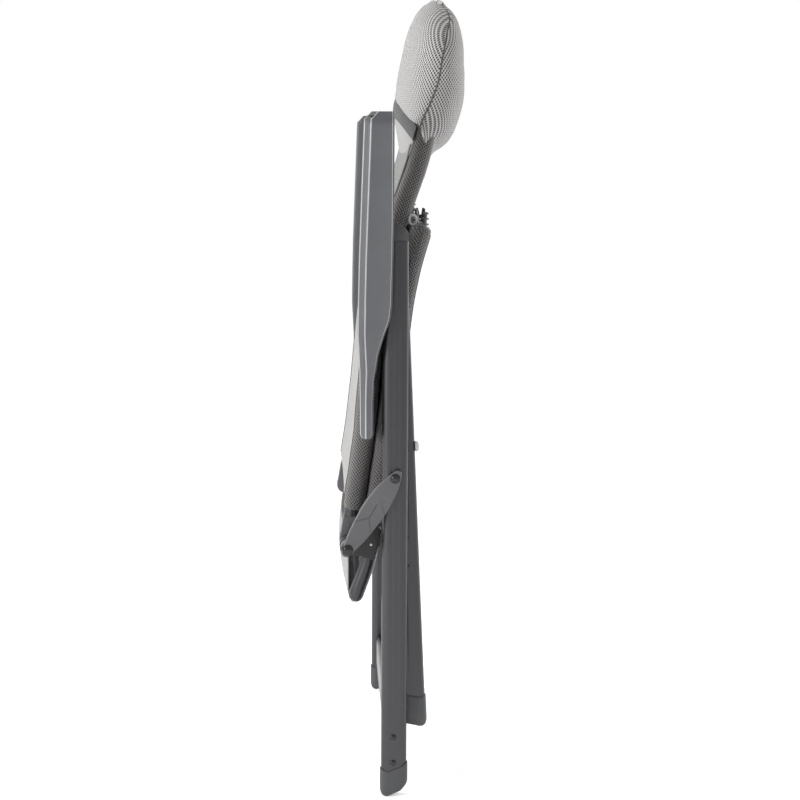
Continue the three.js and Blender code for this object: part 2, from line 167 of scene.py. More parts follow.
def spacer_mesh(name, thread, hole, across, along, depth=0.0016):
    """Knitted spacer mesh on UVs in metres: a staggered grid of round holes between light threads."""
    made, tree, shader = material(name, thread, 0.85, 0, 0.3, 0.25)
    shader.inputs["Sheen Roughness"].default_value = 0.45
    spot = node(tree, "ShaderNodeUVMap").outputs["UV"]
    cell = mapped(tree, mapped(tree, spot, Scale=(1 / across, 1 / along, 1)), Rotation=(0, 0, math.pi / 4))
    cell = vector_math(tree, "MULTIPLY", cell, (math.sqrt(2), math.sqrt(2), 1))
    inside = vector_math(tree, "SUBTRACT", vector_math(tree, "FRACTION", cell), (0.5, 0.5, 0))
    inside = vector_math(tree, "MULTIPLY", inside, (1, 1, 0))
    reach = vector_math(tree, "LENGTH", inside)
    solid = node(tree, "ShaderNodeMapRange", {"Value": reach, "From Min": 0.25, "From Max": 0.45},
                 interpolation_type="SMOOTHSTEP").outputs["Result"]
    yarn = between(tree, noise_on(tree, spot, 1500.0, 2.0), shade(thread, 0.86), (*thread, 1))
    tree.links.new(between(tree, solid, (*hole, 1), yarn), shader.inputs["Base Color"])
    tree.links.new(bumped(tree, solid, 0.8, depth), shader.inputs["Normal"])
    return made


def woven(name, colour, across, along, depth, dark=0.72):
    """A weave on UVs in metres, with about five ribs to each step across and along."""
    made, tree, shader = material(name, colour, 0.8, 0, 0.3, 0.2)
    spot = node(tree, "ShaderNodeUVMap").outputs["UV"]
    band_scale = 5 / math.pi

    def ribs(direction, stretch):
        inputs = {"Vector": mapped(tree, spot, Scale=stretch), "Scale": band_scale, "Distortion": 0.4}
        return node(tree, "ShaderNodeTexWave", inputs, bands_direction=direction).outputs["Fac"]

    both = node(tree, "ShaderNodeMath", {0: ribs("X", (1 / across, 0, 0)), 1: ribs("Y", (0, 1 / along, 0))},
                operation="MULTIPLY").outputs[0]
    tree.links.new(between(tree, both, shade(colour, dark), (*colour, 1)), shader.inputs["Base Color"])
    slack = bumped(tree, noise_on(tree, spot, 9.0, 3.0), 0.35, 0.012)
    tree.links.new(bumped(tree, both, 0.6, depth, Normal=slack), shader.inputs["Normal"])
    return made


def metal(name, colour, roughness, scale=600):
    made, tree, shader = material(name, colour, roughness, 0.9)
    grain(tree, shader, scale, roughness * 0.8, roughness * 1.3, colour, 0.1, 0.00003)
    return made


TUBE = tube_finish("tube", (0.066, 0.064, 0.068))
PLASTIC = plastic("grey_plastic", (0.085, 0.085, 0.09), 0.4, 0.56, 700, 0.0004)
CAP = plastic("cap_plastic", (0.052, 0.053, 0.056))
ARM = plastic("armrest_plastic", (0.075, 0.077, 0.083), 0.36, 0.5)
# A lighter copy of the armrest plastic: painted highlight along the shell's edges
ARM_PAINTED_HIGHLIGHT = plastic("armrest_painted_highlight", (0.30, 0.30, 0.31), 0.28, 0.4)
BLACK = plastic("black_plastic", (0.009, 0.009, 0.010), 0.35, 0.5)
PALE = plastic("pale_plastic", (0.6, 0.6, 0.6))
SNAP = plastic("snap_plastic", (0.16, 0.16, 0.165), 0.25, 0.4)
RIVET = plastic("rivet", (0.014, 0.014, 0.016), 0.1, 0.18, 500, 0.00003)
STEEL = metal("steel", (0.45, 0.45, 0.46), 0.3)
MESH = spacer_mesh("spacer_mesh", (0.47, 0.46, 0.455), (0.045, 0.042, 0.041), 0.0056, 0.0064)
# A darker copy of the spacer mesh for the backrest and seat covers: painted shade, as their sides fall in
# shadow
MESH_PAINTED_SHADE = spacer_mesh("spacer_mesh_painted_shade", (0.19, 0.183, 0.18), (0.010, 0.009, 0.009), 0.0044, 0.0052)
FABRIC = woven("plain_fabric", (0.34, 0.335, 0.33), 0.0016, 0.0016, 0.0003, 0.75)
WEBBING = woven("webbing", (0.26, 0.26, 0.255), 0.0022, 0.0016, 0.0005, 0.6)
TRIM = woven("dark_trim", (0.05, 0.05, 0.053), 0.0012, 0.0012, 0.0003, 0.7)
# Cord for the seams: the seam line is real, its dark colour is painted shade of the seam's groove
SEAM_SHADE = woven("seam_painted_shade", (0.10, 0.095, 0.09), 0.002, 0.002, 0.0003, 0.6)


# ---------------------------------------------------------------- mesh helpers
def mesh_object(name, verts, faces, materials, face_slots=None, uvs=None, sharp=SMOOTH_ANGLE):
    data = bpy.data.meshes.new(name)
    data.from_pydata([tuple(v) for v in verts], [], faces)
    if uvs is not None:
        layer = data.uv_layers.new(name="UVMap")
        flat = [c for polygon in uvs for corner in polygon for c in corner]
        layer.data.foreach_set("uv", flat)
    for m in materials if isinstance(materials, (list, tuple)) else [materials]:
        data.materials.append(m)
    if face_slots is not None:
        data.polygons.foreach_set("material_index", face_slots)
    return finish_mesh(name, data, sharp)


def finish_mesh(name, data, sharp=SMOOTH_ANGLE):
    work = bmesh.new()
    work.from_mesh(data)
    bmesh.ops.recalc_face_normals(work, faces=work.faces)
    work.to_mesh(data)
    work.free()
    data.polygons.foreach_set("use_smooth", [True] * len(data.polygons))
    data.set_sharp_from_angle(angle=sharp)
    made = bpy.data.objects.new(name, data)
    bpy.context.scene.collection.objects.link(made)
    return made


def place(piece, body, nodes=()):
    """Puts a finished piece on its body, in place of its CAD nodes."""
    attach(piece, body)
    if nodes:
        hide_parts(*nodes)
    return piece


def loft(name, rings, materials, caps=True, slot_of=None, sharp=SMOOTH_ANGLE, panels=None):
    """Skins closed rings of equal length, with UVs in metres round each ring and from ring to ring.

    With panels of (first, last, middle) points, each panel's UVs start at its middle and rise with height.
    """
    rings = [[Vector(p) for p in ring] for ring in rings]
    count = len(rings[0])
    verts = [p for ring in rings for p in ring]
    around = [[0.0] for _ in rings]
    for k, ring in enumerate(rings):
        for i in range(count):
            around[k].append(around[k][-1] + (ring[(i + 1) % count] - ring[i]).length)
    along = [[0.0] * (count + 1)]
    for a, b in zip(rings, rings[1:]):
        along.append([along[-1][i] + (b[i % count] - a[i % count]).length for i in range(count + 1)])
    middle = [0] * count
    if panels:
        along = [[ring[i % count].z for i in range(count + 1)] for ring in rings]
        for first, last, centre in panels:
            middle[first:last] = [centre] * (last - first)
    faces, uvs, slots = [], [], []
    for k in range(len(rings) - 1):
        for i in range(count):
            j = (i + 1) % count
            faces.append((k * count + i, k * count + j, (k + 1) * count + j, (k + 1) * count + i))
            uvs.append([(around[a][b] - around[a][middle[i]], along[a][b])
                        for a, b in ((k, i), (k, i + 1), (k + 1, i + 1), (k + 1, i))])
            slots.append(slot_of(k, i) if slot_of else 0)
    if caps:
        for k, order in ((0, range(count)), (len(rings) - 1, range(count - 1, -1, -1))):
            faces.append(tuple(k * count + i for i in order))
            uvs.append(tuple((rings[k][i].y, rings[k][i].z + rings[k][i].x) for i in order))
            slots.append(0)
    return mesh_object(name, verts, faces, materials, slots, uvs, sharp)


def rounded(points, steps=5):
    """A closed side-view outline through [x, z, corner radius] points."""
    out = []
    count = len(points)
    for i, point in enumerate(points):
        corner = Vector(point[:2])
        radius = point[2] if len(point) > 2 else 0
        if not radius:
            out.append(tuple(corner))
            continue
        before, after = Vector(points[i - 1][:2]) - corner, Vector(points[(i + 1) % count][:2]) - corner
        reach = min(radius, 0.48 * before.length, 0.48 * after.length)
        start, end = corner + before.normalized() * reach, corner + after.normalized() * reach
        for k in range(steps + 1):
            t = k / steps
            out.append(tuple(start * (1 - t) ** 2 + corner * 2 * t * (1 - t) + end * t * t))
    return out


def plate(name, outline, inner, outer, side, materials, bevel=1.0, segments=2):
    """A side-view outline given thickness across the chair, with its rims bevelled."""
    work = bmesh.new()
    near = [work.verts.new(at(x, side * inner, z)) for x, z in outline]
    face = work.faces.new(near)
    grown = bmesh.ops.extrude_face_region(work, geom=[face])
    moved = [g for g in grown["geom"] if isinstance(g, bmesh.types.BMVert)]
    bmesh.ops.translate(work, verts=moved, vec=(0, side * (outer - inner) / 1000, 0))
    if bevel:
        rims = {e for f in work.faces if len(f.verts) == len(outline) for e in f.edges}
        bmesh.ops.bevel(work, geom=list(rims), offset=bevel / 1000, segments=segments, profile=0.5,
                        affect="EDGES", clamp_overlap=True)
    data = bpy.data.meshes.new(name)
    work.to_mesh(data)
    work.free()
    for m in materials if isinstance(materials, (list, tuple)) else [materials]:
        data.materials.append(m)
    return finish_mesh(name, data)


def carve(piece, cutter):
    """Takes the cutter out of the piece and deletes it."""
    change = piece.modifiers.new("cut", "BOOLEAN")
    change.operation, change.object, change.solver = "DIFFERENCE", cutter, "EXACT"
    apply_modifiers(piece)
    bpy.data.objects.remove(cutter)


def apply_modifiers(piece):
    graph = bpy.context.evaluated_depsgraph_get()
    data = bpy.data.meshes.new_from_object(piece.evaluated_get(graph))
    piece.modifiers.clear()
    piece.data = data
    data.polygons.foreach_set("use_smooth", [True] * len(data.polygons))
    data.set_sharp_from_angle(angle=SMOOTH_ANGLE)


def joined(name, pieces):
    """One object from several that share a body."""
    with bpy.context.temp_override(active_object=pieces[0], selected_editable_objects=pieces):
        bpy.ops.object.join()
    pieces[0].name = name
    return pieces[0]


def circle(steps):
    """The angles of evenly spaced points round a circle."""
    return [2 * math.pi * i / steps for i in range(steps)]


def turned(name, profile, x, z, side, mat, steps=28):
    """A turned piece on an axis across the chair; profile holds (radius, distance from the middle)."""
    rings = []
    for r, y in profile:
        rings.append([at(x + r * math.cos(a), side * y, z + r * math.sin(a)) for a in circle(steps)])
    return loft(name, rings, mat)


def smooth_line(points, count, start=0.0, end=1.0):
    """Evenly spaced (x, z, tangent x, tangent z) along a Catmull-Rom spline through the side-view points."""
    steps = 24
    p = [Vector(q) for q in points]
    p = [p[0] * 2 - p[1], *p, p[-1] * 2 - p[-2]]
    dense = []
    for i in range(1, len(p) - 2):
        for k in range(steps):
            t = k / steps
            a, b, c, d = p[i - 1], p[i], p[i + 1], p[i + 2]
            dense.append(0.5 * (2 * b + (c - a) * t + (2 * a - 5 * b + 4 * c - d) * t * t
                                + (3 * b - a - 3 * c + d) * t ** 3))
    dense.append(p[-2])
    lengths = np.cumsum([0] + [(b - a).length for a, b in zip(dense, dense[1:])])
    wanted = np.linspace(start * lengths[-1], end * lengths[-1], count)
    xs = np.interp(wanted, lengths, [q.x for q in dense])
    zs = np.interp(wanted, lengths, [q.y for q in dense])
    tx, tz = np.gradient(xs, wanted), np.gradient(zs, wanted)
    size = np.hypot(tx, tz)
    return list(zip(xs, zs, tx / size, tz / size))


def smoothstep(v, low, high):
    """Rises smoothly from 0 at low to 1 at high."""
    t = min(1.0, max(0.0, (v - low) / (high - low)))
    return t * t * (3 - 2 * t)


# ---------------------------------------------------------------- legs and feet
def stadium(width, thick, steps=10, groove=0.0):
    """A flat-oval section, (along its width, across it), with two shallow grooves drawn along each flat."""
    r, flat = thick / 2, (width - thick) / 2
    groove_at, groove_half = flat * 0.45, 1.1
    half = [(flat + r * math.cos(a), r * math.sin(a)) for a in np.linspace(-math.pi / 2, math.pi / 2, steps)]
    if groove:
        for c in (groove_at, -groove_at):
            half += [(c + groove_half, r), (c, r - groove), (c - groove_half, r)]
    return half + [(-x, -y) for x, y in half]


def leg(name, span, low, high, side, lean):
    """A leg tube between its inner and outer faces and two heights."""
    inner, outer = span
    middle = side * (inner + outer) / 2
    rings = []
    for z in np.linspace(low, high, 12):
        ring = []
        for x, y in stadium(LEG_WIDTH, outer - inner, groove=0.25):
            px, pz = leaned(x, z) if lean else (x, z)
            ring.append(at(px, middle + y, pz))
        rings.append(ring)
    return loft(name, rings, TUBE)


# How a foot cap is drawn in at each share of its height; the last two rings close it round the tube
CAP_WIDTH, CAP_THICK = 41.4, 23.6
CAP_PROFILE = ((0, 4.2), (0.015, 2.4), (0.05, 0.9), (0.11, 0.1), (0.5, 0), (0.93, 0.1), (0.985, 0.35),
               (1.0, 0.9), (1.0, 1.7), (0.9, 1.75))


def foot(name, span, bottom, top, side, lean):
    """A slanted end cap: bottom and top give its height over x, and its lip is a thin step round the tube."""
    middle = side * sum(span) / 2
    rings = []
    for share, shrink in CAP_PROFILE:
        ring = []
        for x, y in stadium(CAP_WIDTH - 2 * shrink, CAP_THICK - 2 * shrink, 12):
            low, high = bottom(x), top(x)
            z = low + share * (high - low)
            px, pz = leaned(x, z) if lean else (x, z)
            ring.append(at(px, middle + y, pz))
        rings.append(ring)
    return loft(name, rings, CAP)


def through(*points):
    """The straight-line curve through (input, output) points."""
    xs, zs = zip(*points)
    return lambda x: float(np.interp(x, xs, zs))


def dome(name, x, z, radius, rise, face, side):
    """A domed rivet head on a face."""
    profile = [(radius * 0.9, face - 1), (radius, face + 0.2), (radius, face + rise * 0.25)]
    for a in np.linspace(0.25, 1.5, 7):
        profile.append((radius * math.cos(a), face + rise * (0.25 + 0.75 * math.sin(a))))
    return turned(name, profile, x, z, side, RIVET)


def washer(name, x, z, radius, face, side, mat):
    hole, high = radius * 0.3, 1.1
    profile = [(hole, face), (radius - 0.3, face), (radius, face + 0.35), (radius, face + 0.9),
               (radius - 0.4, face + high), (hole, face + high)]
    return turned(name, profile, x, z, side, mat)


REAR_CAP_BOTTOM = through((-21, 6), (-18, 1.5), (-15, 0), (-3, 0), (8, 7), (21, 19))
REAR_CAP_TOP = through((-21, 43), (-15, 39), (-6, 37.5), (4, 41), (12, 47), (21, 52))
FRONT_CAP_BOTTOM = through((-21, 111), (-12, 104), (2, 98.5), (14, 98), (19, 100), (21, 104))
FRONT_CAP_TOP = through((-21, 156), (-10, 149), (4, 143), (14, 143.5), (21, 146))
LEG_HEAD = [(18.6, 824.4, 0.6), (18.4, 836, 3), (14, 842.5, 4), (-4, 853, 6), (-28, 846, 9), (-40.5, 832, 9),
            (-37, 816, 9), (-19, 806, 4), (-19.2, 824.4, 0.6)]
SEAT_STOP = [(19, 512, 2), (24.5, 513, 2.4), (25.5, 519, 2), (24.5, 526, 2.4), (19, 527, 2)]


def build_legs():
    for word, side in SIDES:
        place(leg(f"rear_tube_{word}", REAR_LEG, 20, 824, side, False),
              "rear_frame", [f"rear_leg_{word}"])
        place(leg(f"front_tube_{word}", FRONT_LEG, 110, 786, side, True),
              "front_frame", [f"front_leg_{word}"])
        place(foot(f"rear_cap_{word}", REAR_LEG, REAR_CAP_BOTTOM, REAR_CAP_TOP, side, False),
              "rear_frame", [f"rear_foot_{word}"])
        place(foot(f"front_cap_{word}", FRONT_LEG, FRONT_CAP_BOTTOM, FRONT_CAP_TOP, side, True),
              "front_frame", [f"front_foot_{word}"])
        for level, z in (("upper", 90.5), ("lower", 51.7)):
            place(dome(f"rear_rivet_{level}_{word}", -1, z, 4.5, 2.7, REAR_LEG[1], side), "rear_frame",
                  [f"rear_bar_rivet_{level}_{word}"])
        for level, height in (("upper", 385.5), ("lower", 341.5)):
            x, z = leaned(0, height)
            place(dome(f"front_rivet_{level}_{word}", x, z, 4.3, 1.8, FRONT_LEG[1], side), "front_frame",
                  [f"front_bar_rivet_{level}_{word}"])
        head = plate(f"leg_head_{word}", rounded(LEG_HEAD), *REAR_LEG, side, CAP, 1.6, 3)
        place(head, "rear_frame", [f"arm_hinge_head_{word}"])
        stop = [leaned(x, z) for x, z in rounded(SEAT_STOP)]
        place(plate(f"seat_stop_knob_{word}", stop, 244, 256, side, PALE, 1.2), "front_frame",
              [f"seat_stop_{word}"])


def bar(name, centre, reach, body, cad, lean=False):
    """A flat-oval cross bar between the legs."""
    rings = []
    for share in (-1, -0.5, 0, 0.5, 1):
        ring = []
        for h, w in stadium(BAR_HIGH, BAR_THICK, 10, groove=0.3):
            x, z = centre[0] + w, centre[1] + h
            if lean:
                x, z = leaned(x, z)
            ring.append(at(x, reach * share, z))
        rings.append(ring)
    place(loft(name, rings, TUBE), body, [cad])


def round_bar(name, centre, radius, reach, body, cad):
    rings = []
    for share in (-1, -0.4, 0.4, 1):
        rings.append([at(centre[0] + radius * math.cos(a), reach * share, centre[1] + radius * math.sin(a))
                      for a in circle(24)])
    place(loft(name, rings, TUBE), body, [cad])


# ---------------------------------------------------------------- seat and back frames
SEAT_HALF = 225
BACK_NECK, BACK_TOP = 187, 150
TUBE_RADIUS = 11.0


def back_side(z):
    """How far out the backrest's side tubes are at height z: they draw in to a neck, and again to the top."""
    neck = SEAT_HALF + (BACK_NECK - SEAT_HALF) * smoothstep(z, 740, 935)
    low, high = 1040, BACK_LINE[-1][1]
    return neck + (BACK_TOP - BACK_NECK) * max(0.0, (z - low) / (high - low)) ** 2


def side_tube(name, line, across, side, body, cad, radius=TUBE_RADIUS, round_start=False):
    """A bent tube along a side-view line, at across(z) from the chair's middle."""
    def ring_at(x, z, tx, tz, y, r):
        ring = []
        for a in circle(20):
            out = r * math.cos(a)
            ring.append(at(x + tz * out, y + r * math.sin(a), z - tx * out))
        return ring

    stations = smooth_line(line, 44)
    rings = [ring_at(x, z, tx, tz, side * across(z), radius) for x, z, tx, tz in stations]
    if round_start:
        x, z, tx, tz = stations[0]
        for drop in (0.5, 0.85, 0.98):
            r = radius * math.sqrt(1 - drop * drop)
            centre = (x - tx * radius * drop, z - tz * radius * drop)
            rings.insert(0, ring_at(*centre, tx, tz, side * across(z), r))
    place(loft(name, rings, TUBE), body, cad)


def build_frames():
    for word, side in SIDES:
        side_tube(f"seat_rail_{word}", [(-55.5, 292), *SEAT_LINE[1:]], lambda z: SEAT_HALF, side, "seat",
                  [f"seat_side_tube_{word}"], 11.4, round_start=True)
        side_tube(f"back_rail_{word}", BACK_LINE, back_side, side, "backrest", [f"back_side_tube_{word}"])
        x, z = BACK_PIVOT
        bracket = rounded([(x - 13, z + 6, 9), (x - 10, z - 13, 10), (-58, 359, 3), (-29, 351, 3),
                           (-18.5, 398, 4), (-27, 402, 5), (x + 8, z + 16, 9)])
        made = plate(f"seat_bracket_plate_{word}", bracket, 236.6, 258, side, BLACK, 1.2, 3)
        screw = turned("screw", [(0.6, 257), (2.0, 258.2), (1.9, 258.9), (0.7, 259.3)], -34, 375, side, STEEL)
        place(joined(f"seat_bracket_plate_{word}", [made, screw]), "seat", [f"seat_bracket_{word}"])
        lug = rounded([(x - 13, z - 2, 9), (x - 2, z - 13, 9), (x + 12, z - 4, 9), (x + 12, z + 22, 3),
                       (-54.5, 412, 2), (-74.5, 414, 2), (x - 9, z + 18, 3)])
        place(plate(f"back_hinge_lug_{word}", lug, 212, 236, side, PLASTIC, 2.5, 3), "backrest",
              [f"back_lug_{word}"])


# ---------------------------------------------------------------- links
LINK_FACES = (285, 293.4)
LINK_CREASES = [[(-60.1, 416.6), (-38.0, 421.7), (-26.3, 442.0)], [(-38.0, 421.7), (-35.7, 401.5)],
                [(-19.5, 440.2), (-15.3, 426.7)]]


def link_outline():
    """The leaf-shaped link in side view, from points along and across the line between its pivots."""
    dx, dz = BACK_PIVOT[0] - LINK_TOP[0], BACK_PIVOT[1] - LINK_TOP[1]
    length = math.hypot(dx, dz)

    def on_link(along, across):
        return (LINK_TOP[0] + (dx * along + dz * across) / length,
                LINK_TOP[1] + (dz * along - dx * across) / length)

    leaf = [(-12.5, -4, 6), (-12.5, 4, 6), (18, 15, 10), (56, 18.5, 14), (104, 13, 12), (length + 11.5, 5, 7),
            (length + 11.5, -6, 7), (100, -14.5, 12), (52, -18.5, 14), (12, -13.5, 10)]
    return rounded([(*on_link(a, b), r) for a, b, r in leaf], 7)


def groove(start, end, side):
    """A cutter for a straight groove in the link's outer face, a little longer than its line."""
    half, cut_from, cut_to = 0.65, 292.6, 296
    (x0, z0), (x1, z1) = start, end
    d = Vector((x1 - x0, z1 - z0)).normalized()
    n = Vector((-d.y, d.x)) * half
    strip = [(x0 - d.x + n.x, z0 - d.y + n.y), (x0 - d.x - n.x, z0 - d.y - n.y),
             (x1 + d.x - n.x, z1 + d.y - n.y), (x1 + d.x + n.x, z1 + d.y + n.y)]
    return plate("groove", strip, cut_from, cut_to, side, PLASTIC, 0)


def link_rivet(name, pivot, washer_radius, dome_radius, side):
    """A domed rivet on its washer, on the link's outer face."""
    pieces = [washer("washer", *pivot, washer_radius, 293.2, side, BLACK),
              dome("dome", *pivot, dome_radius, 3.0, 293.8, side)]
    return joined(name, pieces)


def build_links():
    boss_profile = [(4, 262.3), (9.5, 262.3), (10.2, 263), (10.2, 286), (4, 286)]
    ring_profile = [(2.6, 292.8), (3.6, 292.8), (3.6, 296), (2.6, 296)]
    for word, side in SIDES:
        made = plate(f"link_arm_{word}", link_outline(), *LINK_FACES, side, PLASTIC, 2.2, 4)
        for crease in LINK_CREASES:
            for start, end in zip(crease, crease[1:]):
                carve(made, groove(start, end, side))
        carve(made, turned("ring", ring_profile, -17.9, 447.3, side, PLASTIC, 20))
        boss = turned("boss", boss_profile, *BACK_PIVOT, side, PLASTIC)
        place(joined(f"link_arm_{word}", [made, boss]), "links", [f"link_{word}"])
        place(link_rivet(f"link_top_dome_{word}", LINK_TOP, 7.4, 5.7, side), "rear_frame",
              [f"link_top_rivet_{word}"])
        place(link_rivet(f"link_low_dome_{word}", BACK_PIVOT, 8.2, 6.4, side), "links",
              [f"link_low_rivet_{word}"])


# ---------------------------------------------------------------- armrests
ARM_LEFT = through((536, -50.7), (585, -51.0), (634, -51.7), (689, -54.6), (745, -54.0), (799, -52.9),
                   (900, -49.5), (998, -46.1))
ARM_RIGHT = through((536, -31.3), (589, -31.3), (627, -28.9), (661, -24.4), (688, -16.9), (700, -12.4),
                    (712, -8.1), (733, -5.7), (799, -4.1), (853, -3.2), (1009, -3.0))


ARM_LOW, ARM_TIP, ARM_HIGH = 536, 998, 1009
ARM_INNER, ARM_WALL = 250, 2.6
ARM_OUTER_LOW, ARM_OUTER_HIGH = 283.5, 300
RACK_FRONT, RACK_TOOTH = -37.6, -41.2

# Sides of the shell's section that take a lighter plastic, a painted highlight where light catches the edges:
# one before the chamfer, two after it, one on the front lip
PAINTED_HIGHLIGHT_SIDES = (6, 8, 9, 12)


def arm_outer(z):
    return ARM_OUTER_LOW + (ARM_OUTER_HIGH - ARM_OUTER_LOW) * smoothstep(z, 615, 705)


def chamfer(left, right):
    """How wide the shell's chamfer is, between its edges in side view."""
    return min(10.0, (right - left) * 0.42)


def arm_section(z):
    """(x, across) of the shell's outline at one height, before it is hollowed."""
    low_end = 1 - smoothstep(z, 534, 542)
    left = ARM_LEFT(z) + (10.5 * max(0, (z - ARM_TIP) / (ARM_HIGH - ARM_TIP)) + 3.0 * low_end)
    right = ARM_RIGHT(z) - 3.0 * low_end
    out = arm_outer(z)
    edge = left + chamfer(left, right)
    drawn_in = 7 * smoothstep(z, 990, ARM_HIGH) + 2.5 * (1 - smoothstep(z, 535, 545))
    inner_half = [(right, ARM_INNER), (left + 3.5, ARM_INNER), (left + 1.1, 251), (left, 253.5),
                  (left - 0.2, 262)]
    outer_half = [(left - 0.2, out - 12), (left, out - 8.6), (left + 0.9, out - 6.8), (edge - 1.2, out - 2.6),
                  (edge - 0.4, out - 0.5), (edge + 0.8, out - 0.1), (right - 4.2, out),
                  (right - 3.2, out + 0.5), (right - 2.2, out - 1.2), (right - 0.6, out - 1.9),
                  (right, out - 2.8)]
    return inner_half + [(x, y - drawn_in) for x, y in outer_half]


def arm_shell(name, side):
    heights = [ARM_LOW, 537.5, 541, 548, *np.linspace(560, 620, 5), *np.linspace(630, 745, 20),
               *np.linspace(765, 985, 14), 992, ARM_TIP, 1003, 1007, ARM_HIGH]
    rings = [[at(x, side * y, z) for x, y in arm_section(z)] for z in heights]
    # The listed sides take the lighter plastic, a painted highlight
    return loft(name, rings, [ARM, ARM_PAINTED_HIGHLIGHT], slot_of=lambda k, i: int(i in PAINTED_HIGHLIGHT_SIDES))


def arm_cavity(side):
    """What the shell is hollowed by; it follows the chamfer, and runs out through the front."""
    inner, front = side * (ARM_INNER + ARM_WALL), 30
    rings = []
    for z in (539.5, 600, 640, 665, 688, 712, 740, 799, 900, 990, 1003):
        left = ARM_LEFT(z) + 3.0
        out = arm_outer(z) - ARM_WALL - 4 * smoothstep(z, 990, 1003)
        edge = left + chamfer(ARM_LEFT(z), ARM_RIGHT(z)) - 1
        rings.append([at(front, inner, z), at(left, inner, z), at(left, side * (out - 7.5), z),
                      at(edge, side * out, z), at(front, side * out, z)])
    return loft("cavity", rings, ARM)


def arm_rack(side):
    """The toothed rack that the slider runs on."""
    outline = [(-49, 838)]
    for i in range(9):
        z = 846 + 15 * i
        outline += [(RACK_FRONT, z), (RACK_TOOTH, z + 3), (RACK_TOOTH, z + 8), (RACK_FRONT, z + 11)]
    outline += [(RACK_FRONT, 985), (-46, 985)]
    return plate("rack", outline, 286, 292.4, side, ARM, 0.3, 1)


def build_armrests():
    for word, side in SIDES:
        shell = arm_shell(f"armrest_shell_{word}", side)
        carve(shell, arm_cavity(side))
        # The inner wall stops short of the front
        skirt = [(-22, 500), (20, 500), (20, 1001), (-22, 1001)]
        carve(shell, plate("skirt", skirt, 249, 253.2, side, ARM, 0))
        place(joined(f"armrest_shell_{word}", [shell, arm_rack(side)]), "armrests", [f"armrest_{word}"])


# ---------------------------------------------------------------- padded covers
# A pad's section runs along its right edge (points 0 to 8), its front, its left edge (18 to 26) and its rear
PAD_FRONT, FRONT_SEAMS = range(8, 18), (8, 18)
PAD_REAR, REAR_SEAMS = range(26, 36), (0, 26)


def cover_ring(x, z, tx, tz, half, front, rear, crown):
    """A pad section: flat faces between two round edges, crowned more in front than behind."""
    ring = []
    arc = [math.pi * k / 8 - math.pi / 2 for k in range(9)]
    flat = [-0.94, -0.8, -0.6, -0.35, 0, 0.35, 0.6, 0.8, 0.94]
    r = (front + rear) / 2
    shift = (front - rear) / 2
    span = half - r

    def point(y, n):
        ring.append(at(x + tz * n, y, z - tx * n))

    for a in arc:
        point(-(span + r * math.cos(a)), shift + r * math.sin(a))
    for share in flat:
        point(share * span, front + crown * (1 - share * share) ** 0.8)
    for a in reversed(arc):
        point(span + r * math.cos(a), shift + r * math.sin(a))
    for share in reversed(flat):
        point(share * span, -rear + crown * 0.35 * (1 - share * share) ** 0.8)
    return ring


def pad(name, line, start, end, half_of, front, rear, count, mesh_in_front, body, nodes):
    """A padded cover along a side-view line: mesh on one face and its edges, plain fabric on the other."""
    crown, channel_every = 6, 9
    rings = []
    for k, (x, z, tx, tz) in enumerate(smooth_line(line, count, start, end)):
        t = k / (count - 1)
        closing = min(1.0, min(t, 1 - t) / 0.018)
        shrink = math.sqrt(max(0.02, 1 - (1 - closing) ** 2))
        channel = 1 - 0.16 * max(0.0, math.cos(2 * math.pi * k / channel_every)) ** 6
        rings.append(cover_ring(x, z, tx, tz, half_of(z) - 4 * (1 - shrink), front * shrink, rear * shrink,
                                crown * shrink * channel - 2 * (1 - channel)))
    for ring in rings:
        for p in ring:
            p.x += 0.0009 * noise.noise(p * 14) + 0.0005 * noise.noise(p * 45)
    plain, seams = (PAD_REAR, REAR_SEAMS) if mesh_in_front else (PAD_FRONT, FRONT_SEAMS)
    # The mesh faces take the darker spacer mesh, painted shade
    made = loft(name, rings, [MESH_PAINTED_SHADE, FABRIC], slot_of=lambda k, i: int(i in plain),
                sharp=math.radians(80))
    place(made, body, nodes)
    for word, i in zip(("right", "left"), seams):
        seam = [ring[i] for ring in rings[2:-2]]
        # A dark cord along the seam: painted shade of its groove
        place(cord_line(f"{name}_seam_{word}", seam, 0.0010, SEAM_SHADE), body)


def build_covers():
    pad("back_cover", BACK_LINE, 0.022, 0.93, lambda z: back_side(z) + 12.5 - 40 * smoothstep(z, 985, 1035),
        16.5, 14.0, 96, True, "backrest", ["back_pad", "back_lower_bar", "back_top_bar"])
    pad("seat_cover", [*SEAT_LINE[:-1], (41, 845)], 0.16, 1.0, lambda z: SEAT_HALF + 11.5,
        15.5, 15.5, 84, False, "seat", ["seat_pad", "seat_front_bar"])


# ---------------------------------------------------------------- headrest
BACK_OF_HOOD = [(8.2, 1029), (11, 1048), (18, 1088), (26.5, 1128), (36, 1155), (47, 1171), (60.7, 1180)]
FRONT_OF_HOOD = [(54.7, 937), (64.6, 948.8), (84.3, 962.5), (98, 986), (107.9, 1025.5), (108.8, 1084.4),
                 (103.9, 1133.6), (88.1, 1164), (60.7, 1180.6)]
SEAM_OF_HOOD = [(38, 989), (43, 1004), (51, 1021), (63, 1052), (76, 1118), (82, 1150), (73, 1172)]


HOOD_HALF = 212
HOOD_LEVELS, HOOD_POINTS = 46, 15


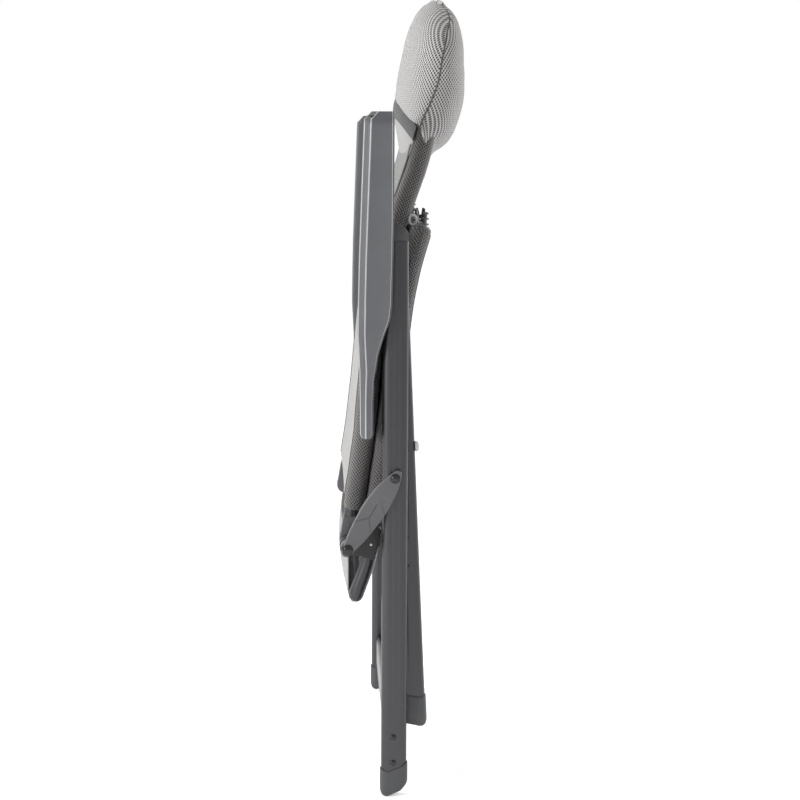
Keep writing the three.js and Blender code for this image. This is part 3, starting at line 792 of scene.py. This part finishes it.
def hood_ring(t, front, back, seam):
    """One level of the hood: from its right seam round the front panel, and back round the rear panel.

    t is the level's share of the way up; front, back and seam are its points on those three lines.
    """
    half = HOOD_HALF * (1 - 0.44 * max(0.0, (t - 0.4) / 0.6) ** 2.6)
    boxy = smoothstep(t, 0, 0.35)
    ring = []
    for j in range(-HOOD_POINTS, HOOD_POINTS + 1):
        u = math.sin(0.5 * math.pi * j / HOOD_POINTS)
        pucker = 1.2 * math.sin(9 * t * math.pi + 2) * (abs(u) ** 6) * (1 - abs(u)) * 8
        spot = seam + (front - seam) * (1 - abs(u) ** 4.6) ** 0.5
        ring.append(at(spot.x + pucker, half * u, spot.y))
    for j in range(HOOD_POINTS - 1, -HOOD_POINTS, -1):
        u = math.sin(0.5 * math.pi * j / HOOD_POINTS)
        out = (1 - abs(u) ** (2.2 + 1.3 * boxy)) ** (0.6 - 0.05 * boxy)
        spot = seam + (back - seam) * out
        ring.append(at(spot.x, half * u, spot.y - (1 - t) ** 8 * 26 * u * u * out))
    for p in ring:
        p.x += (0.0016 * noise.noise(p * 11) + 0.0008 * noise.noise(p * 40)) * min(1, 6 * t)
    return ring


def build_headrest():
    lines = [smooth_line(line, HOOD_LEVELS) for line in (FRONT_OF_HOOD, BACK_OF_HOOD, SEAM_OF_HOOD)]
    rings = []
    for k, level in enumerate(zip(*lines)):
        rings.append(hood_ring(k / (HOOD_LEVELS - 1), *[Vector(point[:2]) for point in level]))
    seams = {"right": 0, "left": 2 * HOOD_POINTS}
    panels = [(0, 2 * HOOD_POINTS, HOOD_POINTS), (2 * HOOD_POINTS, 4 * HOOD_POINTS, 3 * HOOD_POINTS)]
    made = loft("headrest_hood", rings, MESH, caps=False, sharp=math.radians(60), panels=panels)
    shell = made.modifiers.new("thickness", "SOLIDIFY")
    shell.thickness, shell.offset = 0.004, -1
    apply_modifiers(made)
    place(made, "headrest", ["headrest_cushion"])
    for word, i in seams.items():
        seam = [ring[i] for ring in rings[:-3]]
        # A dark cord along the seam: painted shade of its groove
        place(cord_line(f"headrest_seam_{word}", seam, 0.0011, SEAM_SHADE), "headrest")


def cord_line(name, points, radius, mat, steps=8):
    """A thin piped line through points in the frame's metres."""
    points = [Vector(p) for p in points]
    rings = []
    for k, p in enumerate(points):
        d = (points[min(k + 1, len(points) - 1)] - points[max(k - 1, 0)]).normalized()
        u = d.cross(Vector((0, 1, 0)))
        u = (u if u.length > 0.2 else d.cross(Vector((1, 0, 0)))).normalized()
        v = d.cross(u)
        rings.append([p + radius * (u * math.cos(a) + v * math.sin(a)) for a in circle(steps)])
    return loft(name, rings, mat)


def ribbon(name, rows, thick, mat, bend=2.0):
    """A thin slab of cloth through rows of (half-width, middle x, middle z, side x, side z)."""
    grid = []
    for half, x, z, side_x, side_z in rows:
        grid.append([Vector((x + (side_x - x) * abs(u) ** bend, half * u, z + (side_z - z) * abs(u) ** bend))
                     for u in np.linspace(-1, 1, 25)])
    rings = []
    for k, row in enumerate(grid):
        near, far = [], []
        for i, p in enumerate(row):
            down = grid[min(k + 1, len(grid) - 1)][i] - grid[max(k - 1, 0)][i]
            over = row[min(i + 1, len(row) - 1)] - row[max(i - 1, 0)]
            n = over.cross(down).normalized() * thick / 2
            n = -n if n.x > 0 else n
            near.append(at(*(p + n)))
            far.append(at(*(p - n)))
        rings.append(near + far[::-1])
    return loft(name, rings, mat)


def rear_face(z, off=0.0):
    """x of the backrest cover's rear face at height z, and off it to the rear."""
    cover = 14.8
    xs, zs = zip(*BACK_LINE)
    return float(np.interp(z, zs, xs)) - cover - off


def build_straps():
    hem = [(193, 8.8, 1031, 33.5, 988), (194, 7.2, 1025, 32, 984), (194, 6.4, 1018, 30.5, 979),
           (193.5, 6.4, 1010, 29, 973), (193, 7.0, 1003, 28.5, 967)]
    made = ribbon("headrest_trim", hem, 1.6, TRIM)
    place(made, "headrest")
    skirt = [(192, 8.2, 1005, 29.6, 969), (191, 9.2, 997, 28.8, 966), (190, 12.0, 983, 27.4, 961),
             (190, 15.2, 969, 25.4, 955), (190, 18.2, 957, 23.6, 950), (190, 20, 948, 22.4, 946)]
    made = ribbon("headrest_skirt", skirt, 1.6, FABRIC)
    place(made, "headrest")
    band = [(back_side(z) - 1, rear_face(z, 2.2), z, rear_face(z, 1.2), z)
            for z in (962, 950, 935, 920, 905, 890, 878)]
    made = ribbon("backrest_band", band, 1.8, WEBBING, 6)
    place(made, "backrest")
    for name, z in (("upper", 912), ("lower", 906)):
        line = [at(rear_face(z, 3.4 - 1.0 * (abs(y) / 186) ** 6), y, z) for y in np.linspace(-186, 186, 40)]
        place(cord_line(f"band_stitch_{name}", line, 0.0006, FABRIC), "backrest")
    flap = [(214, -75, 374, -68, 374), (214, -78, 355, -67.5, 355), (214, -78.5, 335, -67, 335),
            (214, -77.5, 315, -67, 315), (213, -74.5, 297, -67, 297), (212, -70.5, 284, -65, 284),
            (211, -64, 277, -60, 277)]
    made = ribbon("seat_rear_flap", flap, 1.6, FABRIC)
    place(made, "seat")


def tilted(name, profile, foot_x, foot_z, y, lean, mat):
    """A turned piece standing at lean degrees from upright; profile holds (radius, height)."""
    c, d = math.cos(math.radians(lean)), math.sin(math.radians(lean))
    rings = []
    for r, h in profile:
        ring = []
        for a in circle(20):
            out = r * math.cos(a)
            ring.append(at(foot_x + h * d + out * c, y + r * math.sin(a), foot_z + h * c - out * d))
        rings.append(ring)
    return loft(name, rings, mat)


SNAP_PROFILE = [(3.4, -2), (3.4, 4), (6.4, 4.6), (6.4, 6.6), (3.0, 7.4), (2.8, 12), (5.6, 12.8), (5.8, 14.6),
                (2.6, 15.6), (2.4, 20), (4.8, 20.8), (4.6, 22.4), (2.0, 23.6)]


def build_clips():
    """Two snaps and a cord loop on each end of the seat's front edge."""
    small = [(r * 0.92, h * 0.86) for r, h in SNAP_PROFILE]
    for word, side in SIDES:
        near = tilted(f"cover_snap_{word}", SNAP_PROFILE, 45, 839, side * 196, 6, SNAP)
        second = tilted("snap", small, 35, 846, side * 176, -4, SNAP)
        place(joined(f"cover_snap_{word}", [near, second]), "seat")
        ring = [at(27.5 + 5.5 * math.cos(a), side * 205, 851 + 7.5 * math.sin(a))
                for a in np.linspace(0, 2 * math.pi, 30)]
        place(cord_line(f"cover_loop_{word}", ring, 0.0020, PALE), "seat")


# ---------------------------------------------------------------- stage
def build_floor():
    bpy.ops.mesh.primitive_plane_add(size=30, location=(0, 0, 0))
    floor = bpy.context.active_object
    floor.name = "floor"
    pale, _, shader = material("floor", (0.96, 0.96, 0.96), 0.9, 0, 0.0)
    shader.inputs["Emission Color"].default_value = (1, 1, 1, 1)
    shader.inputs["Emission Strength"].default_value = 0.22
    floor.data.materials.append(pale)


def build_world():
    """White all round, and dimmer from behind the camera."""
    world = bpy.data.worlds.new("studio")
    bpy.context.scene.world = world
    world.use_nodes = True
    tree = world.node_tree
    look = node(tree, "ShaderNodeTexCoord").outputs["Generated"]
    depth = node(tree, "ShaderNodeSeparateXYZ", {0: look}).outputs["Y"]
    reach = {"Value": depth, "From Min": -0.9, "From Max": 0.35, "To Min": 0.50, "To Max": 1.0}
    level = node(tree, "ShaderNodeMapRange", reach, interpolation_type="SMOOTHSTEP").outputs["Result"]
    back = tree.nodes["Background"]
    back.inputs["Color"].default_value = (1, 1, 1, 1)
    tree.links.new(level, back.inputs["Strength"])


def build_lights():
    """Soft discs that face the chair's middle: name, place, diameter and power."""
    middle = Vector((0, 0, 0.6))
    lights = [("key", (-2.6, -2.4, 1.5), 1.0, 70), ("rim", (2.3, 1.3, 1.2), 0.6, 32),
              ("edge", (-2.3, 0.7, 1.3), 0.6, 34)]
    for name, spot, size, power in lights:
        data = bpy.data.lights.new(name, "AREA")
        data.shape, data.size, data.energy = "DISK", size, power
        lamp = bpy.data.objects.new(name, data)
        bpy.context.scene.collection.objects.link(lamp)
        lamp.location = spot
        lamp.rotation_mode = "QUATERNION"
        lamp.rotation_quaternion = (middle - lamp.location).to_track_quat("-Z", "Y")


CAMERA_AT = (-0.1182, -2.9865, 0.9705)
CAMERA_DOWN, CAMERA_TURN = math.radians(6.29), math.radians(-0.04)


def build_camera():
    data = bpy.data.cameras.new("camera")
    data.lens, data.sensor_width = 84.7, 36
    data.shift_x, data.shift_y = 0.09375, -0.0675
    camera = bpy.data.objects.new("camera", data)
    bpy.context.scene.collection.objects.link(camera)
    camera.location = CAMERA_AT
    camera.rotation_euler = (math.pi / 2 - CAMERA_DOWN, 0, CAMERA_TURN)
    bpy.context.scene.camera = camera


def finish_carried():
    """The CAD pieces that stay get the finished materials."""
    steel = ("arm_hinge_pin", "leg_pivot_bolt", "seat_pivot_bolt", "back_pivot_pin", "arm_rear_stud")
    for name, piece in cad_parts.items():
        mat = TUBE
        if name.startswith(steel):
            mat = STEEL
        elif name.startswith(("arm_slider", "fold_buckle")):
            mat = BLACK
        elif name.startswith(("fold_strap", "headrest_strap")):
            mat = WEBBING
        piece.data.materials.clear()
        piece.data.materials.append(mat)


bpy.context.scene.view_settings.view_transform = "Standard"
build_camera()
build_floor()
build_world()
build_lights()
finish_carried()
build_legs()
bar("rear_cross_bar", (-2, 71), REAR_LEG[0] - 0.5, "rear_frame", "rear_bar")
bar("front_cross_bar", (0, 363.5), FRONT_LEG[0] - 0.5, "front_frame", "front_bar", True)
build_frames()
build_links()
build_armrests()
build_covers()
build_headrest()
round_bar("seat_rear_rail", (-54.5, 291), TUBE_RADIUS, 214.5, "seat", "seat_rear_bar")
build_straps()
build_clips()
